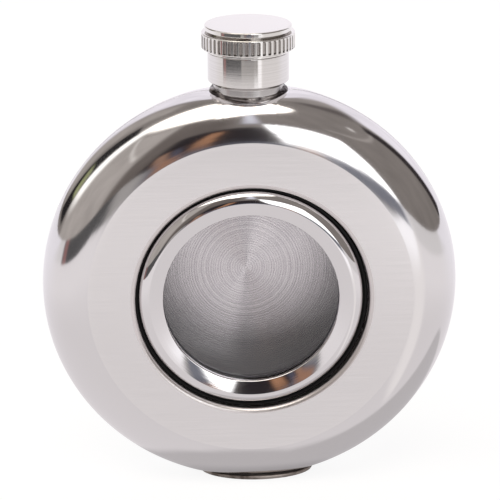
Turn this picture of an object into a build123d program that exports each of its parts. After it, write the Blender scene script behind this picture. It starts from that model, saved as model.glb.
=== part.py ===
from build123d import *
import math
import os

# Lengths are in millimetres. The origin is on the surface that the foot stands on, under the
# middle of the body. +Z runs up the neck, and the window looks towards -Y.

# Body: two pressed shells that meet on the middle plane
body_diameter = 105.0
body_depth = 23.5
wall = 0.8
neck_flat_depth = 1.3  # how far the rim is pressed in under the neck
foot_flat_depth = 2.2  # how far the rim is pressed in above the foot
fit_gap = 0.03  # radial room between pieces that are pushed into each other
overrun = 2.0  # how far a cutting tool runs past what it cuts

# Glass and its sealing ring; depths are measured behind the front face
window_radius = 22.0
glass_depth = 1.5
glass_thickness = 2.0
glass_overlap = 3.6  # how far the glass reaches under the bezel
glass_gap = 0.1
inner_gasket_thickness = 0.7
inner_gasket_inset = 0.3

# Bezel: a convex ring that screws into the seat and holds the glass
bezel_skirt_wall = 1.2
bezel_skirt_end_gap = 0.4
bezel_flange_width = 1.25  # how far the flange reaches past the skirt
bezel_flange_depth = 1.6
bezel_edge_depth = 1.2
bezel_inner_depth = 0.25
bezel_crest_rise = 0.4
bezel_crest_share = 0.553  # place of the crest between the window and the bezel's edge
bezel_crest_angle = 6.0  # degrees, slope of the outer curve where it leaves the crest

# Rubber ring that shows between the bezel and the shell
gasket_show_width = 1.1
gasket_show_depth = 1.15
gasket_thickness = 0.8
gasket_gap = 0.05
gasket_skirt_gap = 0.3

# Turned-in edge of the front shell, and the seat ring welded into it
lip_bend_radius = 1.2
lip_depth = 4.0
ledge_thickness = 1.0

# Neck: spigot, foot, collar and threaded spout, turned from one bar
bore_radius = 5.6
bore_chamfer = 0.6
spigot_wall = 1.5
spigot_depth = 1.6
neck_foot_step = 1.56  # how far the neck's foot stands out past the spigot
neck_foot_height = 1.8
neck_edge = 0.3
collar_step = 1.34  # how far the collar stands out past the neck's foot
collar_chamfer_height = 0.9
collar_height = 7.2
collar_edge = 0.15
spout_wall = 1.85
spout_height = 4.25
spout_edge = 0.4

# Thread of the spout and the cap
thread_pitch = 1.5
thread_height = 0.8
thread_root_width = 0.72
thread_crest_width = 0.36
thread_sink = 0.12  # how deep a ridge is rooted in the wall that carries it
thread_radial_gap = 0.3
thread_start_height = 0.55
thread_end_gap = 0.05
thread_start_angle = 40.0  # degrees

# Weld bead round the foot of the neck
bead_radius = 0.9
bead_side_step = 0.24  # the bead's middle line lies this far outside the neck's foot at the sides
bead_front_inset = 1.76  # and this far inside it at the front and back
bead_front_lift = 0.3  # and rises this much there
bead_points = 16

# Cap: lip, grip band with its flutes, groove and top disc
seam_gap = 0.1
grip_wall = 2.93
cap_lip_inset = 1.28  # the lip, groove and disc are this much smaller than the grip band
cap_lip_height = 0.7
grip_edge = 0.3
flute_count = 50
flute_width = 0.78
flute_margin = 0.42  # plain band above and below the flutes
flute_depth = 0.4
groove_inset = 1.48
groove_height = 0.55
disc_inset = 0.78
disc_height = 1.22
disc_bevel = 0.35
roof_thickness = 1.32
seal_thickness = 1.05
seal_side_gap = 0.3

# Foot, an oval plate; it sits a little off the middle, as the real one does
foot_length = 29.4
foot_width = 15.9
foot_thickness = 1.0
foot_edge = 0.25
foot_shift = 1.36

# Body sizes that follow
rim_radius = body_depth / 2
face_radius = body_diameter / 2 - rim_radius
inner_rim_radius = rim_radius - wall
front = body_depth / 2
centre_height = body_diameter / 2 - foot_flat_depth + foot_thickness

# Window sizes that follow, from the glass outwards and inwards
glass_radius = window_radius + glass_overlap
bezel_skirt_bore = glass_radius + glass_gap
bezel_skirt_radius = bezel_skirt_bore + bezel_skirt_wall
bezel_radius = bezel_skirt_radius + bezel_flange_width
bezel_crest_radius = window_radius + bezel_crest_share * (bezel_radius - window_radius)
hole_radius = bezel_radius + gasket_show_width
seat_top_depth = bezel_flange_depth + gasket_thickness
glass_back_depth = glass_depth + glass_thickness
ledge_depth = glass_back_depth + inner_gasket_thickness
bezel_skirt_depth = ledge_depth - bezel_skirt_end_gap

# Neck sizes and heights that follow
spigot_radius = bore_radius + spigot_wall
neck_foot_radius = spigot_radius + neck_foot_step
collar_radius = neck_foot_radius + collar_step
spout_core_radius = bore_radius + spout_wall
neck_seat_height = centre_height + body_diameter / 2 - neck_flat_depth
collar_base_height = neck_seat_height + neck_foot_height + collar_chamfer_height
collar_top_height = collar_base_height + collar_height
spout_top_height = collar_top_height + spout_height

# Cap sizes and heights that follow
cap_bore_radius = spout_core_radius + thread_height + thread_radial_gap
grip_radius = cap_bore_radius + grip_wall
cap_roof_height = spout_top_height + seal_thickness
cap_top_height = cap_roof_height + roof_thickness
disc_base_height = cap_top_height - disc_height
grip_top_height = disc_base_height - groove_height
cap_base_height = collar_top_height + seam_gap
grip_base_height = cap_base_height + cap_lip_height
grip_height = grip_top_height - grip_base_height

# Thread lengths that follow: both ridges end short of the spout's top
spout_thread_start = collar_top_height + thread_start_height
spout_thread_end = spout_top_height - spout_edge - thread_root_width / 2
cap_thread_start = spout_thread_start + thread_pitch / 2
cap_thread_end = spout_top_height - thread_end_gap - thread_root_width / 2


def outline(*edges):
    # A face bounded by joined lines and arcs, drawn as radius and height
    return Plane.XZ * make_face(Curve() + list(edges))


def turned(*edges):
    # A solid turned about the height axis from such a face
    return revolve(outline(*edges), axis=Axis.Z)


def ring(inner, outer, low, high):
    # A plain ring, or a disc where the inner radius is zero
    path = Polyline((inner, low), (outer, low), (outer, high), (inner, high), close=True)
    return turned(path)


def facing_front(shape):
    # Moves a solid turned about its height axis onto the body's axis, with its height towards the window
    return Pos(0, 0, centre_height) * Rot(90, 0, 0) * shape


def at_depth(depth):
    # Height of a level that lies a given depth behind the front face
    return front - depth


def half_disc(radius, face):
    # Half of the body's form on its own axis: flat inside the face radius, round at the rim
    bottom = Polyline((0, radius), (0, 0), (face + radius, 0))
    rim = CenterArc((face, 0), radius, 0, 90)
    top = Line((face, radius), (0, radius))
    return turned(bottom, rim, top)


def half_skin():
    # The sheet of one shell: two round rims, one wall apart, and a flat face
    half = half_disc(rim_radius, face_radius)
    return half - half_disc(inner_rim_radius, face_radius)


def slab(low, high):
    # A level slab wider than the body
    size = body_diameter + overrun
    return Pos(0, 0, (low + high) / 2) * Box(size, size, high - low)


def pressed_flat(shell, half):
    # Cuts the rim off level for the neck and the foot, and closes each cut with a flat of one wall
    top = body_diameter / 2 - neck_flat_depth
    bottom = foot_flat_depth - body_diameter / 2
    past = body_diameter / 2 + overrun
    centre = Pos(0, 0, centre_height)
    shell -= centre * slab(top, past)
    shell -= centre * slab(-past, bottom)
    shell += half & (centre * slab(top - wall, top))
    shell += half & (centre * slab(bottom, bottom + wall))
    return shell


def neck_hole():
    # The hole that takes the neck's spigot
    low = neck_seat_height - spigot_depth - overrun
    return ring(0, spigot_radius + fit_gap, low, neck_seat_height + overrun)


def make_back_shell():
    to_back = Pos(0, 0, centre_height) * Rot(-90, 0, 0)
    shell = to_back * half_skin()
    shell = pressed_flat(shell, to_back * half_disc(rim_radius, face_radius))
    return shell - neck_hole()


def turned_edge():
    # The sheet that turns from the front face into the window hole
    bend_centre = (hole_radius + lip_bend_radius, at_depth(lip_bend_radius))
    inner_bend = lip_bend_radius - wall
    outside = CenterArc(bend_centre, lip_bend_radius, 90, 90)
    inside = CenterArc(bend_centre, inner_bend, 180, -90)
    skirt = Polyline(
        (hole_radius, at_depth(lip_bend_radius)),
        (hole_radius, at_depth(lip_depth)),
        (hole_radius + wall, at_depth(lip_depth)),
        (hole_radius + wall, at_depth(lip_bend_radius)),
    )
    edge = Line((bend_centre[0], at_depth(wall)), (bend_centre[0], at_depth(0)))
    return turned(outside, skirt, inside, edge)


def make_front_shell():
    opening = ring(0, hole_radius + lip_bend_radius, front - wall - overrun, front + overrun)
    skin = half_skin() - opening + turned_edge()
    shell = facing_front(skin)
    shell = pressed_flat(shell, facing_front(half_disc(rim_radius, face_radius)))
    return shell - neck_hole()


def make_window_seat():
    path = Polyline(
        (window_radius, at_depth(ledge_depth)),
        (window_radius, at_depth(ledge_depth + ledge_thickness)),
        (hole_radius - fit_gap, at_depth(ledge_depth + ledge_thickness)),
        (hole_radius - fit_gap, at_depth(seat_top_depth)),
        (bezel_skirt_radius + fit_gap, at_depth(seat_top_depth)),
        (bezel_skirt_radius + fit_gap, at_depth(ledge_depth)),
        close=True,
    )
    return facing_front(turned(path))


def make_window_glass():
    return facing_front(ring(0, glass_radius, at_depth(glass_back_depth), at_depth(glass_depth)))


def make_inner_gasket():
    inner = window_radius + inner_gasket_inset
    return facing_front(ring(inner, glass_radius, at_depth(ledge_depth), at_depth(glass_back_depth)))


def bezel_curve():
    # The bezel's outer curve: an arc that leaves the crest at a shallow slope and ends at the edge
    crest = (bezel_crest_radius, at_depth(-bezel_crest_rise))
    edge = (bezel_radius, at_depth(bezel_edge_depth))
    slope = math.radians(bezel_crest_angle)
    return TangentArc(crest, edge, tangent=(math.cos(slope), -math.sin(slope)))


def make_window_bezel():
    path = Polyline(
        (bezel_radius, at_depth(bezel_edge_depth)),
        (bezel_radius, at_depth(bezel_flange_depth)),
        (bezel_skirt_radius, at_depth(bezel_flange_depth)),
        (bezel_skirt_radius, at_depth(bezel_skirt_depth)),
        (bezel_skirt_bore, at_depth(bezel_skirt_depth)),
        (bezel_skirt_bore, at_depth(glass_depth)),
        (window_radius, at_depth(glass_depth)),
        (window_radius, at_depth(bezel_inner_depth)),
        (bezel_crest_radius, at_depth(-bezel_crest_rise)),
    )
    return facing_front(turned(bezel_curve(), path))


def make_outer_gasket():
    show_inner = bezel_radius + gasket_gap
    inner = bezel_skirt_radius + gasket_skirt_gap
    outer = hole_radius - fit_gap
    crown = ThreePointArc(
        (outer, at_depth(bezel_flange_depth)),
        ((show_inner + outer) / 2, at_depth(gasket_show_depth)),
        (show_inner, at_depth(bezel_flange_depth)),
    )
    path = Polyline(
        (show_inner, at_depth(bezel_flange_depth)),
        (inner, at_depth(bezel_flange_depth)),
        (inner, at_depth(seat_top_depth)),
        (outer, at_depth(seat_top_depth)),
        (outer, at_depth(bezel_flange_depth)),
    )
    return facing_front(turned(crown, path))


def thread_ridge(wall_radius, outwards, start, end):
    # A helical ridge on a round wall, pointing outwards (1) or inwards (-1)
    helix = Pos(0, 0, start) * Helix(thread_pitch, end - start, wall_radius)
    profile = Polygon(
        (-thread_sink, -thread_root_width / 2),
        (thread_height, -thread_crest_width / 2),
        (thread_height, thread_crest_width / 2),
        (-thread_sink, thread_root_width / 2),
        align=None,
    )
    across = Plane(origin=helix @ 0, x_dir=(outwards, 0, 0), z_dir=helix % 0)
    return Rot(0, 0, thread_start_angle) * sweep(across * profile, path=helix, is_frenet=True)


def neck_body():
    # The neck without its bore: spigot, foot, chamfer, collar and spout
    foot_top = neck_seat_height + neck_foot_height
    path = Polyline(
        (0, neck_seat_height - spigot_depth),
        (spigot_radius, neck_seat_height - spigot_depth),
        (spigot_radius, neck_seat_height),
        (neck_foot_radius - neck_edge, neck_seat_height),
        (neck_foot_radius, neck_seat_height + neck_edge),
        (neck_foot_radius, foot_top),
        (collar_radius, collar_base_height),
        (collar_radius, collar_top_height - collar_edge),
        (collar_radius - collar_edge, collar_top_height),
        (spout_core_radius, collar_top_height),
        (spout_core_radius, spout_top_height - spout_edge),
        (spout_core_radius - spout_edge, spout_top_height),
        (0, spout_top_height),
        close=True,
    )
    return turned(path)


def make_neck_collar():
    low = neck_seat_height - spigot_depth
    bore = ring(0, bore_radius, low - overrun, spout_top_height + overrun)
    mouth = turned(
        Polyline(
            (0, low),
            (bore_radius + bore_chamfer, low),
            (bore_radius, low + bore_chamfer),
            (0, low + bore_chamfer),
            close=True,
        )
    )
    ridge = thread_ridge(spout_core_radius, 1, spout_thread_start, spout_thread_end)
    return neck_body() + ridge - bore - mouth


def rim_height(x, y):
    # Height of the body's outside above a point near the neck, with the pressed flat
    reach = face_radius + math.sqrt(rim_radius**2 - y**2)
    return min(centre_height + math.sqrt(reach**2 - x**2), neck_seat_height)


def bead_point(index):
    # A point of the bead's middle line, which follows the rim round the neck
    turn = 2 * math.pi * index / bead_points
    x = (neck_foot_radius + bead_side_step) * math.cos(turn)
    y = (neck_foot_radius - bead_front_inset) * math.sin(turn)
    return (x, y, rim_height(x, y) + bead_front_lift * math.sin(turn) ** 2)


def whole_form():
    # The solid outer form of the body, with both flats
    half = half_disc(rim_radius, face_radius)
    form = facing_front(half) + Pos(0, 0, centre_height) * Rot(-90, 0, 0) * half
    past = centre_height + body_diameter / 2 + overrun
    return form - slab(neck_seat_height, past) - slab(-overrun, foot_thickness)


def bead_half(path, begin):
    # Half of the bead, lofted through circles square to its middle line
    count = bead_points // 2
    circles = []
    for index in range(count + 1):
        along = ((begin + index) % bead_points) / bead_points
        across = Plane(origin=path @ along, x_dir=(0, 0, 1), z_dir=path % along)
        circles.append(across * Circle(bead_radius))
    return loft(circles)


def make_neck_weld():
    path = Spline(*[bead_point(index) for index in range(bead_points)], periodic=True)
    bead = bead_half(path, 0) + bead_half(path, bead_points // 2)
    return bead - whole_form() - neck_body()


def make_base_foot():
    plate = extrude(Ellipse(foot_length / 2, foot_width / 2), foot_thickness)
    plate = chamfer(plate.edges().group_by(Axis.Z)[0], foot_edge)
    return Pos(foot_shift, 0, 0) * plate


def cap_form():
    # The outside of the cap as a solid: lip, grip band, groove and top disc
    cap_lip_radius = grip_radius - cap_lip_inset
    groove_radius = grip_radius - groove_inset
    disc_radius = grip_radius - disc_inset
    path = Polyline(
        (0, cap_base_height),
        (cap_lip_radius, cap_base_height),
        (cap_lip_radius, grip_base_height),
        (grip_radius - grip_edge, grip_base_height),
        (grip_radius, grip_base_height + grip_edge),
        (grip_radius, grip_top_height - grip_edge),
        (grip_radius - grip_edge, grip_top_height),
        (groove_radius, grip_top_height),
        (groove_radius, disc_base_height),
        (disc_radius, disc_base_height),
        (disc_radius, cap_top_height - disc_bevel),
        (disc_radius - disc_bevel, cap_top_height),
        (0, cap_top_height),
        close=True,
    )
    return turned(path)


def make_cap_shell():
    form = cap_form() - ring(0, cap_bore_radius, cap_base_height - overrun, cap_roof_height)
    middle = grip_base_height + grip_height / 2
    flute = Box(2 * flute_depth, flute_width, grip_height - 2 * flute_margin)
    for place in PolarLocations(grip_radius, flute_count):
        form -= place * Pos(0, 0, middle) * flute
    ridge = thread_ridge(cap_bore_radius, -1, cap_thread_start, cap_thread_end)
    return form + ridge


def make_cap_seal():
    return ring(0, cap_bore_radius - seal_side_gap, spout_top_height, cap_roof_height)


parts = {
    "front_shell": make_front_shell(),
    "back_shell": make_back_shell(),
    "window_seat": make_window_seat(),
    "window_glass": make_window_glass(),
    "inner_gasket": make_inner_gasket(),
    "window_bezel": make_window_bezel(),
    "outer_gasket": make_outer_gasket(),
    "neck_collar": make_neck_collar(),
    "neck_weld": make_neck_weld(),
    "base_foot": make_base_foot(),
    "cap_shell": make_cap_shell(),
    "cap_seal": make_cap_seal(),
}

os.makedirs("parts", exist_ok=True)
for name, shape in parts.items():
    export_step(shape, f"parts/{name}.step")
    print(name, round(shape.volume, 2), len(shape.solids()))
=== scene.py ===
import math
import bpy
import numpy as np
from mathutils import Matrix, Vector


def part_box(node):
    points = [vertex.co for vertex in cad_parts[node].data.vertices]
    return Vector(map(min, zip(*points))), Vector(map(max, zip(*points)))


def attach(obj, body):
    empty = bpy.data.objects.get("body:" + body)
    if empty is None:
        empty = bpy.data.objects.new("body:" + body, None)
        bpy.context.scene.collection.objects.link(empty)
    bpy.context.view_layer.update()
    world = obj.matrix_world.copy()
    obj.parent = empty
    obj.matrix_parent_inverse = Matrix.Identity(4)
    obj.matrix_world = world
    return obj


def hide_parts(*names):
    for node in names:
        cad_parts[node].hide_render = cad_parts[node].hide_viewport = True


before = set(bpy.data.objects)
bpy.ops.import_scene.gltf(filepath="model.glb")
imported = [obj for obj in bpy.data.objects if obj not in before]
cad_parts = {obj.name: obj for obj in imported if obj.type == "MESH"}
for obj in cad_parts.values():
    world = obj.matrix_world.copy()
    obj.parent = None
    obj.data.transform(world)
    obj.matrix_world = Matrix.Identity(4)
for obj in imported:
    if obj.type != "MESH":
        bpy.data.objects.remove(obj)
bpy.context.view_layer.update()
print("frame:", len(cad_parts), "nodes loaded")

# Shapes below are worked out in millimetres and written to the meshes in metres
metre = 0.001


def corners(node):
    # Lowest and highest corner of a CAD node, in millimetres
    low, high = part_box(node)
    return np.array(low) / metre, np.array(high) / metre


shellLow, shellHigh = corners("front_shell")
glassLow, glassHigh = corners("window_glass")
bezelLow, bezelHigh = corners("window_bezel")
seatLow, seatHigh = corners("window_seat")
innerGasketLow, innerGasketHigh = corners("inner_gasket")
outerGasketLow, outerGasketHigh = corners("outer_gasket")
neckLow, neckHigh = corners("neck_collar")
footLow, footHigh = corners("base_foot")
capLow, capHigh = corners("cap_shell")
sealLow, sealHigh = corners("cap_seal")
centreHeight = (glassLow[2] + glassHigh[2]) / 2
front = -shellLow[1]


# Mesh tools

def roundedProfile(outline, closed, stepAngle=math.radians(11), support=0.05):
    # Walks a list of corners (radius, height, and where given rounding, finish and rows) and sets an arc in
    # each corner that has a rounding. The arc's centre lies on the corner's bisector, so it touches both
    # sides. Two support points hold every straight stretch flat, and rows fills it with even points.
    arcs = []
    outline = [(*corner, 0, 0, 0)[:5] for corner in outline]
    for index, (radius, height, rounding, finish, rows) in enumerate(outline):
        here = np.array((radius, height), float)
        if rounding == 0:
            arcs.append((here[None], finish, rows))
            continue
        before = np.array(outline[index - 1][:2], float)
        after = np.array(outline[(index + 1) % len(outline)][:2], float)
        inward = (here - before) / np.linalg.norm(here - before)
        outward = (after - here) / np.linalg.norm(after - here)
        turn = math.atan2(inward[0] * outward[1] - inward[1] * outward[0], inward @ outward)
        reach = rounding * math.tan(abs(turn) / 2)
        left = np.array((-inward[1], inward[0])) * math.copysign(rounding, turn)
        first = math.atan2(*(-left)[::-1])
        steps = max(2, math.ceil(abs(turn) / stepAngle))
        angle = first + turn * np.linspace(0, 1, steps + 1)
        arc = here - inward * reach + left + rounding * np.stack([np.cos(angle), np.sin(angle)], -1)
        arcs.append((arc, finish, rows))
    points, finishes = [], []
    for index, (arc, finish, rows) in enumerate(arcs):
        points.append(arc)
        if index == len(arcs) - 1 and not closed:
            finishes += [finish] * len(arc)
            break
        begin, end = arc[-1], arcs[(index + 1) % len(arcs)][0][0]
        length = np.linalg.norm(end - begin)
        shares = np.linspace(0, 1, rows + 2)[1:-1]
        if length > 4 * support:
            shares = np.unique(np.concatenate([shares, (support / length, 1 - support / length)]))
        points.append(begin + (end - begin) * shares[:, None])
        finishes += [finish] * (len(arc) + len(shares))
    return np.concatenate(points), np.array(finishes)


def turned(profile, angle, axis):
    # A profile turned about an axis: radius cos a and radius sin a across it, height along it.
    # "front" has its height towards the viewer (-Y) from the body's middle, "up" towards +Z.
    radius, height = profile[:, :1], profile[:, 1:] + 0 * angle
    across, along = radius * np.cos(angle), radius * np.sin(angle)
    if axis == "front":
        return np.stack([across, -height, along + centreHeight], -1)
    return np.stack([across, along, height], -1)


def evenAngles(count):
    return np.linspace(0, 2 * np.pi, count, endpoint=False)


def meshPiece(name, points, finishes, closed, materials):
    # One piece from a grid of rows that closes on itself round its columns, and round its rows too where
    # closed says so. A row that is one point is a pole.
    rows, columns = points.shape[:2]
    ids = np.arange(rows * columns).reshape(rows, columns)
    for end in (0, -1):
        if np.ptp(points[end], axis=0).max() < 1e-9:
            ids[end] = ids[end, 0]
    ids = np.concatenate([ids, ids[:, :1]], 1)
    if closed:
        ids = np.concatenate([ids, ids[:1]], 0)
    quads = np.stack([ids[:-1, :-1], ids[:-1, 1:], ids[1:, 1:], ids[1:, :-1]], -1)
    finish = finishes.reshape(rows, -1)[:len(quads)]
    finish = np.broadcast_to(finish, (len(quads), columns)).ravel()
    quads = quads.reshape(-1, 4)
    atStart, atEnd = quads[:, 0] == quads[:, 1], quads[:, 2] == quads[:, 3]
    plain = ~(atStart | atEnd)
    faces = quads[plain]
    triangles = np.concatenate([quads[atStart][:, (0, 2, 3)], quads[atEnd][:, (0, 1, 2)]])
    finish = np.concatenate([finish[plain], finish[atStart], finish[atEnd]])
    used = np.unique(np.concatenate([faces.ravel(), triangles.ravel()]))
    renumbered = np.zeros(rows * columns, int)
    renumbered[used] = np.arange(len(used))
    mesh = bpy.data.meshes.new(name)
    mesh.from_pydata(points.reshape(-1, 3)[used] * metre, [],
        renumbered[faces].tolist() + renumbered[triangles].tolist())
    for material in materials:
        mesh.materials.append(material)
    mesh.polygons.foreach_set("material_index", finish.astype(np.int32))
    mesh.polygons.foreach_set("use_smooth", np.ones(len(finish), bool))
    mesh.update()
    piece = bpy.data.objects.new(name, mesh)
    bpy.context.scene.collection.objects.link(piece)
    print("made", name, "with", len(faces) * 2 + len(triangles), "triangles")
    return piece


def turnedPiece(name, outline, closed, columns, axis, material):
    # A piece that is one outline of rounded corners, turned about its axis
    profile, finishes = roundedProfile(outline, closed)
    return meshPiece(name, turned(profile, evenAngles(columns), axis), finishes, closed, [material])


def place(piece, node, body):
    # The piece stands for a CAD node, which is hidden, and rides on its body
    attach(piece, body)
    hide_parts(node)


# Material tools

def hexColour(code, strength=1.0):
    # sRGB hex to the linear colour that shaders take
    values = [int(code[i:i + 2], 16) / 255 for i in (0, 2, 4)]
    linear = [v / 12.92 if v <= 0.04045 else ((v + 0.055) / 1.055) ** 2.4 for v in values]
    return (*[v * strength for v in linear], 1.0)


def plug(tree, node, sockets):
    # Each socket gets a value, or a link from a socket or from a node's first output
    for name, value in sockets.items():
        if isinstance(value, bpy.types.Node):
            value = value.outputs[0]
        if isinstance(value, bpy.types.NodeSocket):
            tree.links.new(value, node.inputs[name])
        else:
            node.inputs[name].default_value = value


def addNode(tree, kind, sockets=None, **settings):
    # Adds a node with its settings, then its values and links
    made = tree.nodes.new("ShaderNode" + kind)
    for name, value in settings.items():
        setattr(made, name, value)
    plug(tree, made, sockets or {})
    return made


def newMaterial(name):
    # The material, its tree and shader, and the place on the piece
    material = bpy.data.materials.new(name)
    material.use_nodes = True
    tree = material.node_tree
    tree.nodes.clear()
    shader = addNode(tree, "BsdfPrincipled")
    addNode(tree, "OutputMaterial", {"Surface": shader})
    return material, tree, shader, addNode(tree, "TexCoord").outputs["Object"]


def showInstead(tree, surface):
    # Sends another surface to the material's output
    plug(tree, next(n for n in tree.nodes if n.type == "OUTPUT_MATERIAL"), {"Surface": surface})


def toned(tree, tone, colours):
    # The first colour where the tone is 0, the second where it is 1
    return addNode(tree, "Mix", {0: tone, 6: hexColour(colours[0]), 7: hexColour(colours[1])},
        data_type="RGBA").outputs[2]


def grained(tree, position, sizeMm, depthMm, detail):
    # A grain and the relief it gives
    grain = addNode(tree, "TexNoise", {"Vector": position, "Scale": 1 / (sizeMm * metre), "Detail": detail})
    return grain, addNode(tree, "Bump", {"Height": grain, "Distance": depthMm * metre, "Strength": 1.0})


def aroundAxis(tree, position, axis, shift=(0, 0)):
    # For a turned piece: the distance from the axis in metres, the direction along the profile, which is
    # across the marks that the lathe leaves, and the spoke from the axis. The axis may be shifted, in
    # millimetres.
    keep, centre, spin = {
        "front": ((1, 0, 1), (shift[0] * metre, 0, (centreHeight + shift[1]) * metre), (0, 1, 0)),
        "up": ((1, 1, 0), (shift[0] * metre, shift[1] * metre, 0), (0, 0, 1)),
    }[axis]
    away = addNode(tree, "VectorMath", {0: position, 1: centre}, operation="SUBTRACT")
    spoke = addNode(tree, "VectorMath", {0: away, 1: keep}, operation="MULTIPLY")
    distance = addNode(tree, "VectorMath", {0: spoke}, operation="LENGTH").outputs["Value"]
    circling = addNode(tree, "VectorMath", {0: spin, 1: spoke}, operation="CROSS_PRODUCT")
    normal = addNode(tree, "NewGeometry").outputs["Normal"]
    along = addNode(tree, "VectorMath", {0: circling, 1: normal}, operation="CROSS_PRODUCT")
    along = addNode(tree, "VectorMath", {0: along}, operation="NORMALIZE")
    return distance, along, spoke


def polishedSteel(name, axis, colour, roughness, anisotropic, waveMm, waveDepthMm, hairMm, strokes,
        hairDepthMm, cloudMm, fade=None):
    # Stainless steel buffed on a wheel: a mirror with a soft haze. It gives the eye bands of the room,
    # smeared a little across the wheel's lines, which run round the piece in short strokes.
    material, tree, shader, position = newMaterial(name)
    distance, along, spoke = aroundAxis(tree, position, axis)
    _, pressed = grained(tree, position, waveMm, waveDepthMm, 1.0)
    # A point on a circle round the axis, set apart by its distance, has no seam
    spoke = addNode(tree, "VectorMath", {0: spoke}, operation="NORMALIZE")
    spoke = addNode(tree, "VectorMath", {0: spoke, "Scale": strokes}, operation="SCALE")
    parts = addNode(tree, "SeparateXYZ", {"Vector": position})
    depth = parts.outputs["Y" if axis == "front" else "Z"]
    level = addNode(tree, "Math", {0: distance, 1: depth}, operation="SUBTRACT")
    level = addNode(tree, "Math", {0: level, 1: 1 / (hairMm * metre)}, operation="MULTIPLY")
    hair = addNode(tree, "TexNoise", {"Vector": spoke, "W": level, "Scale": 1.0, "Detail": 2.0},
        noise_dimensions="4D")
    buffed = addNode(tree, "Bump", {"Height": hair, "Distance": hairDepthMm * metre,
        "Strength": 1.0, "Normal": pressed})
    cloud = addNode(tree, "TexNoise",
        {"Vector": position, "Scale": 1 / (cloudMm * metre), "Detail": 4.0, "Roughness": 0.6})
    haze = addNode(tree, "MapRange", {"Value": cloud, "From Min": 0.3, "From Max": 0.7,
        "To Min": roughness[0], "To Max": roughness[1]})
    if fade:  # the belt's haze runs out over the start of the mirror
        added = addNode(tree, "MapRange", {"Value": distance, "From Min": fade[0] * metre,
            "From Max": fade[1] * metre, "To Min": fade[2], "To Max": 0.0})
        haze = addNode(tree, "Math", {0: haze, 1: added}, operation="ADD")
    plug(tree, shader, {"Base Color": hexColour(colour), "Metallic": 1.0, "Roughness": haze,
        "Anisotropic": anisotropic, "Tangent": along, "Normal": buffed})
    return material


def satinSteel(name, colours, roughness, borderRoughness, fade, anisotropic, strokeMm, lineMm, lineDepthMm):
    # Stainless steel brushed with a belt, sideways: an even silver face without a sharp reflection, with
    # very fine level lines that show only where the light grazes them. It is glossier at its border, where
    # the polishing wheel has run over it.
    material, tree, shader, position = newMaterial(name)
    distance, _, _ = aroundAxis(tree, position, "front")
    stretched = addNode(tree, "Mapping", {"Vector": position,
        "Scale": (1 / (strokeMm * metre), 0, 1 / (lineMm * metre))})
    lines = addNode(tree, "TexNoise", {"Vector": stretched, "Scale": 1.0, "Detail": 3.0})
    brushed = addNode(tree, "Bump",
        {"Height": lines, "Distance": lineDepthMm * metre, "Strength": 1.0})
    tone = addNode(tree, "MapRange", {"Value": lines, "From Min": 0.3, "From Max": 0.7})
    gloss = addNode(tree, "MapRange", {"Value": distance,
        "From Min": fade[0] * metre, "From Max": fade[1] * metre,
        "To Min": roughness, "To Max": borderRoughness})
    plug(tree, shader, {"Base Color": toned(tree, tone, colours), "Metallic": 1.0,
        "Roughness": gloss, "Anisotropic": anisotropic,
        "Tangent": addNode(tree, "CombineXYZ", {"Z": 1.0}), "Normal": brushed})
    return material


def turnedSteel(name, axis, colours, roughness, anisotropic, ringMm, ringDepthMm, centre=(0, 0), grooveMm=0,
        grooveShare=0):
    # Stainless steel as the lathe leaves it, or spun under an abrasive: fine rings that smear the light
    # across them, so a lamp shows as a streak along the profile and the rings show in it
    material, tree, shader, position = newMaterial(name)
    distance, along, _ = aroundAxis(tree, position, axis, centre)
    if axis == "up":
        distance = addNode(tree, "SeparateXYZ", {"Vector": position}).outputs["Z"]
    rings = addNode(tree, "TexNoise",
        {"W": distance, "Scale": 1 / (ringMm * metre), "Detail": 4.0, "Roughness": 0.7},
        noise_dimensions="1D")
    if grooveMm:  # even grooves, one to each turn of the feed
        turns = addNode(tree, "Math", {0: distance, 1: 2 * math.pi / (grooveMm * metre)},
            operation="MULTIPLY")
        groove = addNode(tree, "Math", {0: turns}, operation="SINE")
        rings = addNode(tree, "Math", {0: groove, 1: grooveShare / 2, 2: rings},
            operation="MULTIPLY_ADD")
    cut = addNode(tree, "Bump",
        {"Height": rings, "Distance": ringDepthMm * metre, "Strength": 1.0})
    tone = addNode(tree, "MapRange", {"Value": rings, "From Min": 0.25, "From Max": 0.75})
    plug(tree, shader, {"Base Color": toned(tree, tone, colours), "Metallic": 1.0,
        "Roughness": roughness, "Anisotropic": anisotropic, "Tangent": along,
        "Normal": cut})
    return material


def weldedSteel(name, colours, roughness, scorchMm, grainMm, grainDepthMm, sideMm, sideScorch):
    # A weld brushed after welding: bright ripples with straw and grey-brown heat tint in the hollows, and
    # more of the tint past sideMm, where the brush doesn't reach
    material, tree, shader, position = newMaterial(name)
    scorch = addNode(tree, "TexNoise",
        {"Vector": position, "Scale": 1 / (scorchMm * metre), "Detail": 3.0})
    _, rough = grained(tree, position, grainMm, grainDepthMm, 3.0)
    parts = addNode(tree, "SeparateXYZ", {"Vector": position})
    aside = addNode(tree, "Math", {0: parts.outputs["X"]}, operation="ABSOLUTE")
    aside = addNode(tree, "MapRange", {"Value": aside, "From Min": sideMm[0] * metre,
        "From Max": sideMm[1] * metre, "To Max": sideScorch})
    scorch = addNode(tree, "Math", {0: scorch, 1: aside}, operation="SUBTRACT")
    tint = addNode(tree, "MapRange", {"Value": scorch, "From Min": 0.36, "From Max": 0.6})
    plug(tree, shader, {"Base Color": toned(tree, tint, colours), "Metallic": 1.0,
        "Roughness": roughness, "Normal": rough})
    return material


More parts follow.
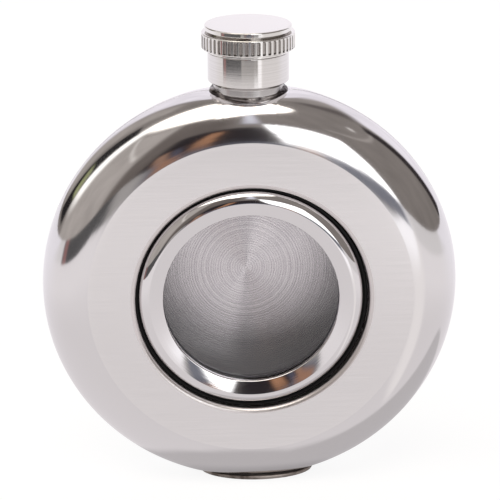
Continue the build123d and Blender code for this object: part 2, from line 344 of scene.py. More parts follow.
def blackRubber(name, colours, roughness, specular, grainMm, grainDepthMm):
    # Nitrile rubber, moulded: near black, with a dull sheen and a faint dusty grain
    material, tree, shader, position = newMaterial(name)
    grain, bump = grained(tree, position, grainMm, grainDepthMm, 4.0)
    plug(tree, shader, {"Base Color": toned(tree, grain, colours),
        "Roughness": roughness, "IOR": 1.52, "Specular IOR Level": specular,
        "Normal": bump})
    return material


def clearMaterial(name, colour, ior, roughness, filmMm):
    # Glass or clear rubber. Shadow rays pass straight through, so light reaches what is behind it.
    material, tree, shader, position = newMaterial(name)
    film = addNode(tree, "TexNoise",
        {"Vector": position, "Scale": 1 / (filmMm * metre), "Detail": 2.0})
    haze = addNode(tree, "MapRange", {"Value": film, "From Min": 0.35, "From Max": 0.75,
        "To Min": roughness[0], "To Max": roughness[1]})
    plug(tree, shader, {"Base Color": hexColour(colour), "Transmission Weight": 1.0,
        "IOR": ior, "Roughness": haze})
    through = addNode(tree, "BsdfTransparent", {"Color": hexColour(colour)})
    shadow = addNode(tree, "LightPath").outputs["Is Shadow Ray"]
    showInstead(tree, addNode(tree, "MixShader", {0: shadow, 1: shader, 2: through}))
    return material


def sealPlastic(name, colours, roughness, grainMm):
    # Polythene washer, cut from sheet: milky white, waxy
    material, tree, shader, position = newMaterial(name)
    grain = addNode(tree, "TexNoise",
        {"Vector": position, "Scale": 1 / (grainMm * metre), "Detail": 2.0})
    plug(tree, shader, {"Base Color": toned(tree, grain, colours),
        "Roughness": roughness, "IOR": 1.51})
    return material


# Lengths below are in millimetres, and of two colours the first is where the tone is low
steelColour = "dedcdd"
rimSteel = polishedSteel("buffedStainlessRim", axis="front", colour=steelColour,
    roughness=(0.08, 0.11), anisotropic=0.7, waveMm=16.0, waveDepthMm=0.012,
    hairMm=0.4, strokes=3.5, hairDepthMm=0.006, cloudMm=9.0, fade=(40.7, 41.5, 0.04))
bezelSteel = polishedSteel("buffedStainlessBezel", axis="front", colour=steelColour,
    roughness=(0.045, 0.07), anisotropic=0.4, waveMm=9.0, waveDepthMm=0.006,
    hairMm=0.3, strokes=2.5, hairDepthMm=0.003, cloudMm=6.0)
edgeSteel = polishedSteel("rolledStainlessEdge", axis="front", colour="dcd7d6",
    roughness=(0.3, 0.36), anisotropic=0.4, waveMm=5.0, waveDepthMm=0.01,
    hairMm=0.3, strokes=3.0, hairDepthMm=0.003, cloudMm=4.0)
capSteel = polishedSteel("buffedStainlessCap", axis="up", colour="e9e7e4",
    roughness=(0.07, 0.1), anisotropic=0.6, waveMm=6.0, waveDepthMm=0.004,
    hairMm=0.25, strokes=1.5, hairDepthMm=0.001, cloudMm=4.0)
faceSteel = satinSteel("brushedStainlessFace", colours=("e1dfdf", "e5e3e3"),
    roughness=0.2, borderRoughness=0.17, fade=(39.0, 40.7), anisotropic=0.3,
    strokeMm=16.0, lineMm=0.4, lineDepthMm=0.0004)
floorSteel = turnedSteel("spunStainlessFloor", axis="front", colours=("d0cdce", "eae8e7"),
    roughness=0.26, anisotropic=0.98, ringMm=0.8, ringDepthMm=0.0013, centre=(-0.6, 0.8),
    grooveMm=0.62, grooveShare=0.35)
# Painted shade: the steel inside the body and the window seat is coloured near black, for the shade inside
# the closed flask
shadedInsideSteel = turnedSteel("drawnStainlessInsidePaintedShade", axis="front", colours=("4a4850", "55535a"),
    roughness=0.45, anisotropic=0.3, ringMm=1.6, ringDepthMm=0.003)
neckSteel = turnedSteel("turnedStainlessNeck", axis="up", colours=("d3d0ce", "e4e2e0"),
    roughness=0.055, anisotropic=0.6, ringMm=0.32, ringDepthMm=0.001)
neckFootSteel = turnedSteel("dullStainlessNeckFoot", axis="up", colours=("b4b1af", "c6c4c3"),
    roughness=0.2, anisotropic=0.7, ringMm=0.6, ringDepthMm=0.004)
# Painted shade: the flutes' sunk floors and the groove under the disc take darker steel, and the flutes'
# sloped ends near-black steel, for the shade in these recesses
shadedFluteSteel = turnedSteel("milledStainlessFlutesPaintedShade", axis="up", colours=("a09b97", "b3aeaa"),
    roughness=0.22, anisotropic=0.3, ringMm=0.5, ringDepthMm=0.002)
shadedFluteEndSteel = turnedSteel("roughStainlessFluteEndsPaintedShade", axis="up", colours=("3c3836", "4b4744"),
    roughness=0.7, anisotropic=0.0, ringMm=0.5, ringDepthMm=0.001)
footTopSteel = turnedSteel("blastedStainlessFootTop", axis="up", colours=("aaa5a2", "b8b3b0"),
    roughness=0.6, anisotropic=0.0, ringMm=0.5, ringDepthMm=0.001)
beadSteel = weldedSteel("brushedStainlessWeld", colours=("3d3838", "a19b98"), roughness=0.22,
    scorchMm=3.0, grainMm=0.8, grainDepthMm=0.02, sideMm=(5.6, 8.0), sideScorch=0.16)
# The foot's steel is darker than the body's, mottled brown
footSteel = weldedSteel("darkenedStainlessFoot", colours=("6f6660", "b5aca5"), roughness=0.35,
    scorchMm=3.0, grainMm=0.4, grainDepthMm=0.02, sideMm=(40, 41), sideScorch=0.0)
rubber = blackRubber("mouldedNitrileRubber", colours=("050506", "0b0a0b"), roughness=0.6,
    specular=0.2, grainMm=0.4, grainDepthMm=0.01)
glass = clearMaterial("floatGlass", colour="fbfafc", ior=1.52, roughness=(0.0, 0.01), filmMm=8.0)
clearRubber = clearMaterial("clearSiliconeRubber", colour="6a696c", ior=1.41,
    roughness=(0.3, 0.4), filmMm=2.0)
washer = sealPlastic("milkyPolythene", colours=("eceae4", "e0ddd6"), roughness=0.5, grainMm=1.5)
print("materials made")


# Body: two pressed shells

body = {
    "wall": 0.8,
    "neckHole": 7.13,
    "pressBlend": 1.1,  # how far the rim's curve runs out into the flats under the neck and over the foot
    "columns": 720,
    "rimRows": 64,
    "insideRows": 20,
    "creaseSlope": math.tan(math.radians(7)),  # the rim leaves the face at this slope
    "creaseWidth": 2.4,
    "holeRadius": seatHigh[0] + 0.03,
    "bendRadius": 1.2,
    "holeShift": (0.34, -0.35),  # the hole isn't quite under the bezel's middle
    "shiftReach": 1.2,  # the shift runs out over this width of the face
    "skirtDepth": 4.0,
    "cutRounding": 0.12,
    "support": (0.3, 0.05),  # rows this far from a bend and from the rim hold the face flat
}
rimRadius = front
faceRadius = shellHigh[0] - rimRadius
flatTop = shellHigh[2]
flatBottom = shellLow[2]


def softLower(value, level, blend):
    # The lower of the two, with a rounded corner of the given reach
    share = np.clip(0.5 + 0.5 * (level - value) / blend, 0, 1)
    return level * (1 - share) + value * share - blend * share * (1 - share)


def rimEnd(radius, angle):
    # How far the round rim runs, as the angle of its quarter circle: to the seam, or to the neck's hole,
    # where its height over the middle plane is the hole's circle
    end = np.full(angle.shape, np.pi / 2)
    for _ in range(40):
        across = (faceRadius + radius * np.sin(end)) * np.cos(angle)
        height = np.sqrt(np.maximum(body["neckHole"] ** 2 - across ** 2, 0))
        end = np.where(np.sin(angle) > 0, np.arccos(np.minimum(height / radius, 1)), end)
    return end


def shellRim(radius, rows, angle):
    # The quarter circle from the face to the rim's end, for every column, with rows closer at the face.
    # It is let down by a drop that starts with the crease's slope, levels out over the crease's width as a
    # parabola, and is taken back with the cosine of the turn.
    turn = (np.linspace(0, 1, rows) ** 1.4)[:, None] * rimEnd(radius, angle)
    share = np.clip(radius * np.sin(turn) / body["creaseWidth"], 0, 1)
    drop = body["creaseSlope"] * body["creaseWidth"] / 2 * (1 - (1 - share) ** 2) * np.cos(turn)
    return faceRadius + radius * np.sin(turn), radius * np.cos(turn) - drop


def holeShifted(points, radius):
    # Moves the turned edge of the hole over, by a share that runs out at the flat face round it
    start = body["holeRadius"] + body["bendRadius"]
    share = np.clip((start + body["shiftReach"] - radius) / body["shiftReach"], 0, 1)
    points[..., 0] += share * body["holeShift"][0]
    points[..., 2] += share * body["holeShift"][1]
    return points


def shellPoints(inner, outer, side):
    # inner and outer are profiles of the two sides of the sheet; the rim goes between them. The heights of
    # the whole sheet are pressed level over the foot and under the neck, the inner side one wall deeper.
    angle = evenAngles(body["columns"])
    wide = np.ones((1, body["columns"]))
    insideRadius, insideHeight = shellRim(rimRadius - body["wall"], body["insideRows"], angle)
    outsideRadius, outsideHeight = shellRim(rimRadius, body["rimRows"], angle)
    radius = np.concatenate([inner[:, :1] * wide, insideRadius, outsideRadius[::-1], outer[:, :1] * wide])
    depth = np.concatenate([inner[:, 1:] * wide, insideHeight, outsideHeight[::-1], outer[:, 1:] * wide])
    level = np.where(np.arange(len(radius)) < len(inner) + body["insideRows"], body["wall"], 0)[:, None]
    up = radius * np.sin(angle) + centreHeight
    up = softLower(up, flatTop - level, body["pressBlend"])
    up = -softLower(-up, -(flatBottom + level), body["pressBlend"])
    points = np.stack([radius * np.cos(angle), -side * depth, up], -1)
    return holeShifted(points, radius) if side > 0 else points[:, ::-1]


def makeFrontShell():
    # The face turns in round the window's hole in a quarter circle and runs on as a straight skirt
    hole, bend, wall, edge = body["holeRadius"], body["bendRadius"], body["wall"], body["cutRounding"]
    skirtEnd = front - body["skirtDepth"]
    quarter = np.linspace(0, np.pi / 2, 13)
    # The outer side turns in from the face, the inner side turns back out to it
    outerBend = np.stack([hole + bend - bend * np.sin(quarter), front - bend + bend * np.cos(quarter)], -1)
    innerBend = np.stack([hole + bend - (bend - wall) * np.cos(quarter),
        front - bend + (bend - wall) * np.sin(quarter)], -1)
    nearBend, nearRim = body["support"]
    flat = np.array([faceRadius - nearRim, hole + bend + body["shiftReach"], hole + bend + nearBend])
    outer = np.concatenate([np.stack([flat, np.full(3, front)], -1), outerBend,
        [(hole, skirtEnd + edge), (hole + edge, skirtEnd)]])
    inner = np.concatenate([[(hole + wall - edge, skirtEnd), (hole + wall, skirtEnd + edge)], innerBend,
        np.stack([flat[::-1], np.full(3, front - wall)], -1)])
    points = shellPoints(inner, outer, 1)
    start = len(inner) + body["insideRows"]
    rimStop = start + body["rimRows"] - 1
    finishes = np.zeros(len(points), int)
    finishes[:start] = 2
    finishes[rimStop:rimStop + 4] = 1
    finishes[rimStop + 4:] = 3
    return meshPiece("frontShell", points, finishes, True, [rimSteel, faceSteel, shadedInsideSteel, edgeSteel])


def makeBackShell():
    # Two flat discs, the inside floor and the face, with the rim between them
    spokes = faceRadius * np.linspace(0, 1, 12)
    spokes[-1] -= body["support"][1]
    inner = np.stack([spokes, np.full(12, front - body["wall"])], -1)
    outer = np.stack([spokes[::-1], np.full(12, front)], -1)
    points = shellPoints(inner, outer, -1)
    start = len(inner) + body["insideRows"]
    finishes = np.zeros(len(points), int)
    finishes[:start] = 2
    finishes[:len(inner) - 1] = 3
    finishes[start + body["rimRows"] - 1:] = 1
    return meshPiece("backShell", points, finishes, False, [rimSteel, faceSteel, shadedInsideSteel, floorSteel])


place(makeFrontShell(), "front_shell", "flask_body")
place(makeBackShell(), "back_shell", "flask_body")


# Window: seat, glass, gaskets and bezel

window = {
    "radius": 22.0,
    "crestShare": 0.553,
    "crestSlope": math.radians(6),
    "crestRounding": 0.14,
    "edgeDepth": 1.3,
    "flangeDepth": 1.6,
    "innerDepth": 0.38,
    "innerBow": math.radians(0.8),
    "lipRounding": 0.3,
    "ledge": 1.0,
    "skirtGap": 0.1,
    "skirtWall": 1.2,
    "seatGap": 0.03,
    "columns": 480,
}
skirtBore = glassHigh[0] + window["skirtGap"]
skirtRadius = skirtBore + window["skirtWall"]


def makeBezel():
    # Outer curve: an arc that leaves the crest at a shallow slope and ends at the edge
    edgeRadius, skirtEnd = bezelHigh[0], -bezelHigh[1]
    lipRadius = window["radius"]
    crest = np.array((lipRadius + window["crestShare"] * (edgeRadius - lipRadius), -bezelLow[1]))
    edge = np.array((edgeRadius, front - window["edgeDepth"]))
    inwards = np.array((-math.sin(window["crestSlope"]), -math.cos(window["crestSlope"])))
    reach = edge - crest
    radius = reach @ reach / (2 * reach @ inwards)
    centre = crest + inwards * radius
    begin, end = (math.atan2(*(p - centre)[::-1]) for p in (edge, crest))
    angle = np.linspace(begin, end, 22)
    arc = centre + radius * np.stack([np.cos(angle), np.sin(angle)], -1)
    # Inner slope: an arc from the crest down to the lip that bows outwards, steepest at the lip. It is
    # given by its shares of the arc's chord and by its rise over it.
    lip = np.array((window["radius"], front - window["innerDepth"]))
    chord, bow = lip - crest, window["innerBow"]
    share = np.linspace(0, 1, 12)[1:-1]
    along = (np.sin(2 * bow * share - bow) / math.sin(bow) + 1) / 2
    rise = (np.cos(2 * bow * share - bow) - math.cos(bow)) / (2 * math.sin(bow))
    slope = crest + along[:, None] * chord + rise[:, None] * np.array((-chord[1], chord[0])) * -1
    flange = front - window["flangeDepth"]
    glassFront = -glassLow[1]
    outline = [
        (*lip, window["lipRounding"]),
        (window["radius"], glassFront, 0.08),
        (skirtBore, glassFront, 0.1),
        (skirtBore, skirtEnd, 0.1),
        (skirtRadius, skirtEnd, 0.1),
        (skirtRadius, flange, 0.1),
        (edgeRadius, flange, 0.08),
        (*arc[0], 0.15), *arc[1:-1], (*crest, window["crestRounding"]), *slope,
    ]
    return turnedPiece("windowBezel", outline, True, window["columns"], "front", bezelSteel)


def makeGlass():
    # A disc with rounded edges
    edge, low, high = glassHigh[0], -glassHigh[1], -glassLow[1]
    outline = [(0, low), (edge, low, 0.2), (edge, high, 0.2), (0, high)]
    return turnedPiece("windowGlass", outline, False, 240, "front", glass)


def makeSeat():
    # A ring with a ledge for the glass and a wall round the bezel's skirt
    inner, outer, low, high = window["radius"], seatHigh[0], -seatHigh[1], -seatLow[1]
    wall, ledge = skirtRadius + window["seatGap"], low + window["ledge"]
    outline = [(inner, low, 0.12), (outer, low, 0.12), (outer, high, 0.12), (wall, high, 0.12),
        (wall, ledge, 0.12), (inner, ledge, 0.12)]
    return turnedPiece("windowSeat", outline, True, 360, "front", shadedInsideSteel)


def makeInnerGasket():
    # A flat ring
    inner, outer = window["radius"] + 0.3, innerGasketHigh[0]
    low, high = -innerGasketHigh[1], -innerGasketLow[1]
    outline = [(inner, low, 0.15), (outer, low, 0.15), (outer, high, 0.15), (inner, high, 0.15)]
    return turnedPiece("innerGasket", outline, True, 240, "front", clearRubber)


def makeOuterGasket():
    # The crown that shows is an arc; it swells and sinks a little round the ring, as squeezed rubber does
    outer, low, high = outerGasketHigh[0], -outerGasketHigh[1], -outerGasketLow[1]
    showInner = bezelHigh[0] + 0.05
    skirt = skirtRadius + 0.3
    shoulder = front - window["flangeDepth"]
    share = np.linspace(0, 1, 11)
    crown = np.stack([outer + (showInner - outer) * share,
        shoulder + (high - shoulder) * 4 * share * (1 - share)], -1)
    profile, finishes = roundedProfile([(skirt, shoulder, 0.1), (skirt, low, 0.1), (outer, low, 0.1),
        *crown], True)
    angle = evenAngles(480)
    points = turned(profile, angle, "front")
    squeeze = 0.05 * (np.sin(7 * angle + 1) + np.sin(16 * angle) + np.sin(29 * angle + 2) - 3) / 3
    raised = np.clip((profile[:, 1:] - shoulder) / (high - shoulder), 0, 1)
    points[..., 1] -= raised * squeeze
    return meshPiece("outerGasket", points, finishes, True, [rubber])


place(makeSeat(), "window_seat", "flask_body")
place(makeGlass(), "window_glass", "flask_body")
place(makeInnerGasket(), "inner_gasket", "flask_body")
place(makeBezel(), "window_bezel", "flask_body")
place(makeOuterGasket(), "outer_gasket", "flask_body")


# Neck: spigot, foot, collar and threaded spout, turned from one bar, with its weld

thread = {"pitch": 1.5, "height": 0.8, "root": 0.72, "crest": 0.36, "start": math.radians(40),
    "runOut": math.radians(35)}
neck = {
    "bore": 5.6,
    "spigot": 7.1,
    "spigotHeight": 1.6,
    "foot": 8.66,
    "footHeight": 1.8,
    "chamferHeight": 0.9,
    "collarHeight": 7.2,
    "spout": 7.45,
    "threadLow": 0.55,
    "threadHigh": 3.49,
    "columns": 360,
}
neckSeat = neckLow[2] + neck["spigotHeight"]
collarBase = neckSeat + neck["footHeight"] + neck["chamferHeight"]
collarTop = collarBase + neck["collarHeight"]


def threadRise(angle, height, begin, end):
    # Height of a helical ridge over its wall: a trapezium of the distance from the nearest turn of the
    # helix, times a run-out at both ends of the thread
    turns = (end - begin) / thread["pitch"]
    angle = (angle - thread["start"]) % (2 * np.pi)
    rise = np.zeros(np.broadcast(angle, height).shape)
    for lap in range(math.ceil(turns) + 1):
        along = angle + 2 * np.pi * lap
        offset = np.abs(height - begin - thread["pitch"] * along / (2 * np.pi))
        side = np.clip((thread["root"] / 2 - offset) / ((thread["root"] - thread["crest"]) / 2), 0, 1)
        fade = np.clip(along / thread["runOut"], 0, 1) * np.clip(
            (2 * np.pi * turns - along) / thread["runOut"], 0, 1)
        rise = np.maximum(rise, side * side * (3 - 2 * side) * fade * (fade > 0))
    return thread["height"] * rise


def radiusScaled(points, profile, radius):
    # Moves a grid that is turned about the height axis to new radii
    points[..., :2] *= (radius / np.maximum(profile[:, :1], 1e-6))[..., None]
    return points


def makeNeck():
    # A turned profile, with the helical ridge added to the spout's wall
    foot, collar, spout, bore, spigot = neck["foot"], neckHigh[0], neck["spout"], neck["bore"], neck["spigot"]
    low, high = neckLow[2], neckHigh[2]
    profile, finishes = roundedProfile([
        (bore, low, 0.4),
        (spigot, low, 0.1),
        (spigot, neckSeat, 0.05),
        (foot, neckSeat, 0.3, 1),
        (foot, neckSeat + neck["footHeight"], 0.12),
        (collar, collarBase, 0.2),
        (collar, collarTop, 0.18),
        (spout, collarTop, 0.1, 0, 50),
        (spout, high, 0.4),
        (bore, high, 0.3),
    ], True)
    angle = evenAngles(neck["columns"])
    points = turned(profile, angle, "up")
    onSpout = np.abs(profile[:, :1] - spout) < 1e-6
    rise = threadRise(angle, profile[:, 1:], collarTop + neck["threadLow"], collarTop + neck["threadHigh"])
    points = radiusScaled(points, profile, profile[:, :1] + onSpout * rise)
    return meshPiece("neckCollar", points, finishes, True, [neckSteel, neckFootSteel])


weld = {
    "radius": 0.9,
    "sideStep": 0.24,
    "frontInset": 1.76,
    "frontLift": 0.3,
    "ripples": 30,
    "rippleDepth": 0.035,
    "wander": 0.12,
}


def rimTop(x, y):
    # Height of the body's outside near the neck
    reach = faceRadius + np.sqrt(rimRadius ** 2 - y ** 2)
    return np.minimum(centreHeight + np.sqrt(reach ** 2 - x ** 2), flatTop)


def makeWeld():
    # A round bead carried along a loop that follows the rim round the neck; its radius ripples as each
    # pass of the torch set, and its line wanders by a sum of sines
    turn = evenAngles(720)
    x = (neck["foot"] + weld["sideStep"]) * np.cos(turn)
    y = (neck["foot"] - weld["frontInset"]) * np.sin(turn)
    z = rimTop(x, y) + weld["frontLift"] * np.sin(turn) ** 2
    z += weld["wander"] * (np.sin(5 * turn + 0.7) + 0.6 * np.sin(11 * turn + 2.1) - 1.2) / 2
    path = np.stack([x, y, z], -1)
    ahead = np.roll(path, -1, 0) - np.roll(path, 1, 0)
    ahead /= np.linalg.norm(ahead, axis=1, keepdims=True)
    side = np.cross(ahead, (0, 0, 1.0))
    side /= np.linalg.norm(side, axis=1, keepdims=True)
    lift = np.cross(side, ahead)
    around = evenAngles(28)[:, None, None]
    ripple = 1 - weld["rippleDepth"] * (1 - np.abs(np.sin(weld["ripples"] / 2 * turn + np.sin(3 * turn))))
    radius = weld["radius"] * (ripple - 0.05 * (1 + np.sin(9 * turn)))[None, :, None]
    points = path + radius * (side * np.cos(around) + lift * np.sin(around))
    return meshPiece("neckWeld", points, np.zeros(28, int), True, [beadSteel])


place(makeNeck(), "neck_collar", "flask_body")
place(makeWeld(), "neck_weld", "flask_body")


# Foot: an oval plate under the rim. Each row is an inset from the oval's outline and a height.

foot = {
    "insetShare": (1.0, 0.5, 0.08, 0.012, 0, 0, 0, 0.008, 0.08, 0.5, 1.0),  # of half the plate's depth
    "heightShare": (0, 0, 0, 0.1, 0.4, 0.6, 0.9, 1.0, 1.0, 1.0, 1.0),  # of its thickness
    "finish": (1, 1, 1, 0, 0, 0, 0, 0, 1, 1, 1),
}
footMiddle = (footHigh[0] + footLow[0]) / 2
footHalf = (footHigh[0] - footLow[0]) / 2, (footHigh[1] - footLow[1]) / 2


def makeFoot():
    # Rows go out under the plate, up its side and back over it, each one a smaller or larger oval
    angle = evenAngles(240)
    share = 1 - np.array(foot["insetShare"])[:, None]
    height = np.array(foot["heightShare"])[:, None] * footHigh[2]
    points = np.stack([footMiddle + share * footHalf[0] * np.cos(angle),
        share * footHalf[1] * np.sin(angle), height + 0 * angle], -1)
    return meshPiece("baseFoot", points, np.array(foot["finish"]), False, [footSteel, footTopSteel])


place(makeFoot(), "base_foot", "flask_body")


# Cap: a turned screw cap with a fluted band, and the washer in it

cap = {
    "bore": 8.55,
    "lipInset": 1.28,
    "lipHeight": 0.7,
    "grooveInset": 1.48,
    "grooveHeight": 0.55,
    "discInset": 0.78,
    "discHeight": 1.22,
    "discBevel": 0.35,
    "roof": 1.32,
    "flutes": 50,
    "fluteWidth": 0.78,
    "fluteMargin": 0.42,
    "fluteDepth": 0.4,
    "flank": 0.1,
    "gripEdge": 0.28,
    "arcStep": math.radians(23),
}
grip = capHigh[0]
capRoof = capHigh[2] - cap["roof"]
gripBase = capLow[2] + cap["lipHeight"]
discBase = capHigh[2] - cap["discHeight"]
gripTop = discBase - cap["grooveHeight"]


def smoothShare(value, low, high):
    share = np.clip((value - low) / (high - low), 0, 1)
    return share * share * (3 - 2 * share)


def makeCap():
    # A turned profile, whose band is let in at each flute by its depth times a smooth step across and one
    # upwards, and whose bore is let in by the thread. Columns stand close together on the flutes' flanks:
    # 16 to a flute, at chosen shares of its pitch.
    pitch = 2 * math.pi / cap["flutes"]
    half, flank = cap["fluteWidth"] / 2 / grip, cap["flank"] / grip
    marks = np.array([0, 0.5 * (half - flank), half - flank, half - 0.6 * flank, half - 0.2 * flank,
        half + 0.2 * flank, half + 0.45 * flank, (half + pitch / 2) / 2])
    marks = np.concatenate([marks, pitch / 2 + 0 * marks[:1], pitch - marks[:0:-1]])
    angle = (pitch * np.arange(cap["flutes"])[:, None] + marks).ravel()
    lip, groove, disc = grip - cap["lipInset"], grip - cap["grooveInset"], grip - cap["discInset"]
    low, high, bore = capLow[2], capHigh[2], cap["bore"]
    profile, finishes = roundedProfile([
        (0, capRoof, 0, 1),
        (bore, capRoof, 0.15, 1, 26),
        (bore, low, 0.1),
        (lip, low, 0.12),
        (lip, gripBase, 0.08),
        (grip, gripBase, cap["gripEdge"], 0, 22),
        (grip, gripTop, cap["gripEdge"]),
        # The groove under the disc takes the darker flute steel, a painted shade
        (groove, gripTop, 0.1, 2),
        (groove, discBase, 0.1, 2),
        (disc, discBase, 0.1),
        (disc, high, cap["discBevel"], 0, 3),
        (0, high),
    ], False, cap["arcStep"])
    points = turned(profile, angle, "up")
    radius, height = profile[:, :1], profile[:, 1:]
    fluteLow, fluteHigh = gripBase + cap["fluteMargin"], gripTop - cap["fluteMargin"]
    fromFlute = (angle + pitch / 2) % pitch - pitch / 2
    across = 1 - smoothShare(np.abs(fromFlute), half - flank, half + 0.3 * flank)
    upwards = smoothShare(height, fluteLow - 0.05, fluteLow + 0.12) * (
        1 - smoothShare(height, fluteHigh - 0.12, fluteHigh + 0.05))
    onGrip = np.abs(radius - grip) < 1e-6
    onBore = np.abs(radius - bore) < 1e-6
    begin = collarTop + neck["threadLow"] + thread["pitch"] / 2
    end = neckHigh[2] - 0.05 - thread["root"] / 2
    changed = radius - onGrip * cap["fluteDepth"] * across * upwards
    changed = changed - onBore * threadRise(angle, height, begin, end)
    points = radiusScaled(points, profile, changed)
    cut = onGrip * across * upwards
    nextCut = np.roll(cut, -1, 0)
    sunk = np.minimum(nextCut, cut) + np.minimum(nextCut, np.roll(cut, -1, 1)) > 0.9
    sloped = (onGrip * np.maximum(np.roll(upwards, -1, 0), upwards) > 0.02) & (
        np.minimum(np.roll(across, -1), across) > 0.5)
    # Painted shade: sunk flute floors get the darker steel, their sloped ends the near-black steel
    finishes = np.where(sunk, 2, np.where(sloped, 3, finishes[:, None]))
    return meshPiece("capShell", points, finishes, False, [capSteel, neckSteel, shadedFluteSteel, shadedFluteEndSteel])


def makeSeal():
    # A disc with rounded edges
    radius, low, high = sealHigh[0], sealLow[2], sealHigh[2]
    outline = [(0, low), (radius, low, 0.12), (radius, high, 0.12), (0, high)]
    return turnedPiece("capSeal", outline, False, 180, "up", washer)


place(makeCap(), "cap_shell", "cap")
place(makeSeal(), "cap_seal", "cap_liner")


# Studio: a pale floor, and soft panels and cards round it. Metal shows little else than these, so their
# places are set by what the rim shows. Azimuth 0 is the viewer and + is to the right, in degrees.

throughSteel = 1.4  # colours below are as steel shows them, and steel sends back seven tenths

studio = {"room": "7a7470", "floorRadius": 5000.0, "mottleScale": 5.0, "mottle": 0.10}
# Each card: its (azimuth, elevation), half (widths), soft (edges), lean (azimuth per degree of elevation,
# elevation per degree of azimuth), colour and strength
cards = [
    ((168, 17), (46, 48), (8, 10), (0, 0), "dedae0", 1.0),  # backdrop behind
    ((133, 58), (14, 18), (14, 12), (0, 0), "8d8783", 1.0),
    ((-135, 30), (10, 28), (12, 8), (0.25, 0), "9a948f", 1.0),
    ((74, 14), (41, 25), (3, 2), (0, 0), "77716d", 1.0),  # wall at the right
    ((74, 39.5), (38, 0.8), (6, 2), (0, 0), "9b9590", 1.0),
    ((77, 47), (3, 1.5), (3, 2), (0, 0), "d0ccc8", 1.0),
    ((116, 20), (6.5, 22), (5, 3), (-0.42, 0), "2b2627", 1.0),
    ((118, 55), (8, 14), (12, 14), (-0.5, 0), "5b5553", 1.0),
    ((-66, 20), (36, 27), (8, 6), (0, 0), "a09a95", 1.0),  # wall at the left
    ((-53, 34), (17, 1.2), (6, 2.5), (0, -0.68), "c6c1bc", 1.0),
    ((-17, 25), (14, 28), (9, 6), (0, 0), "635c58", 1.0),
    ((-88, 38), (8, 25), (9, 16), (0.4, 0), "fffdf8", 1.2),
    ((-110, 25), (10, 23), (3, 2), (0.4, 0), "211f20", 1.0),
    ((-111, 18), (5.5, 6), (4, 3), (0, 0), "8d906c", 1.0),
    ((-45, 65.5), (42, 14.5), (20, 8), (0, 0), "fff9f0", 2.2),  # overhead
    ((20, 76), (34, 19), (3, 4), (0, 0.3), "fff9f0", 2.2),
    ((0, 90), (180, 10.5), (1, 2), (0, 0), "6e6764", 1.0),
    ((2.5, 41), (2.5, 11), (4, 5), (0, 0), "c9c9d2", 1.0),
    ((-5, 8), (11, 13), (6, 5), (0, 0), "2a2628", 1.0),  # dark card in front
    ((-5, 8), (1.6, 8), (1.5, 5), (0, 0), "9a7258", 1.0),
    ((-11, 0), (1.4, 6), (1.5, 4), (-0.4, 0), "8f7160", 1.0),
    ((-8, -1), (0.9, 6), (1.2, 4), (-0.3, 0), "4a4b58", 1.0),
    ((20, 14), (14, 15), (1.2, 2.5), (0, 0), "ffffff", 1.5),  # panel at the right of the camera
]


def past(tree, value, edge, soft):
    # 1 past the edge and 0 before it, softly; with a negative softness the other way round
    return addNode(tree, "MapRange", {"Value": value,
        "From Min": edge - soft / 2, "From Max": edge + soft / 2}, interpolation_type="SMOOTHSTEP")


def within(tree, value, middle, half, soft):
    # 1 inside middle +- half, 0 outside, with a soft edge
    offset = addNode(tree, "Math", {0: value, 1: middle}, operation="SUBTRACT")
    offset = addNode(tree, "Math", {0: offset}, operation="ABSOLUTE")
    return past(tree, offset, half, -soft)


def painted(tree, under, mask, code, strength=1.0):
    # A colour, as steel shows it, laid over another where the mask is
    return addNode(tree, "Mix", {0: mask, 6: under, 7: hexColour(code, strength * throughSteel)},
        data_type="RGBA").outputs[2]


def bearings(tree, direction):
    # Azimuth and elevation of a direction, in degrees
    parts = addNode(tree, "SeparateXYZ", {"Vector": direction})
    ahead = addNode(tree, "Math", {0: parts.outputs["Y"], 1: -1.0}, operation="MULTIPLY")
    azimuth = addNode(tree, "Math", {0: parts.outputs["X"], 1: ahead}, operation="ARCTAN2")
    elevation = addNode(tree, "Math", {0: parts.outputs["Z"]}, operation="ARCSINE")
    return [addNode(tree, "Math", {0: value}, operation="DEGREES") for value in (azimuth, elevation)]


def makeWorld():
    world = bpy.data.worlds.new("softStudio")
    bpy.context.scene.world = world
    world.use_nodes = True
    tree = world.node_tree
    tree.nodes.clear()
    direction = addNode(tree, "TexCoord").outputs["Generated"]
    azimuth, elevation = bearings(tree, direction)
    seen = hexColour(studio["room"], throughSteel)
    for middle, half, soft, lean, colour, strength in cards:
        across = addNode(tree, "Math", {0: azimuth, 1: middle[0]}, operation="SUBTRACT")
        across = addNode(tree, "Math", {0: across, 1: 180.0, 2: -180.0}, operation="WRAP")
        upward = addNode(tree, "Math", {0: elevation, 1: middle[1]}, operation="SUBTRACT")
        leant = addNode(tree, "Math", {0: upward, 1: -lean[0], 2: across}, operation="MULTIPLY_ADD")
        lifted = addNode(tree, "Math", {0: across, 1: -lean[1], 2: upward}, operation="MULTIPLY_ADD")
        mask = addNode(tree, "Math", {0: within(tree, leant, 0, half[0], soft[0]),
            1: within(tree, lifted, 0, half[1], soft[1])}, operation="MULTIPLY")
        seen = painted(tree, seen, mask, colour, strength)
    mottle = addNode(tree, "TexNoise", {"Vector": direction, "Scale": studio["mottleScale"], "Detail": 3.0})
    mottle = addNode(tree, "MapRange", {"Value": mottle, "From Min": 0.3, "From Max": 0.7,
        "To Min": 1 - studio["mottle"], "To Max": 1 + studio["mottle"]})
    seen = addNode(tree, "VectorMath", {0: seen, 1: mottle}, operation="MULTIPLY")
    # The camera sees plain white past the floor
    camera = addNode(tree, "LightPath").outputs["Is Camera Ray"]
    seen = addNode(tree, "Mix", {0: camera, 6: seen, 7: (1, 1, 1, 1)}, data_type="RGBA").outputs[2]
    addNode(tree, "OutputWorld", {"Surface": addNode(tree, "Background", {"Color": seen})})


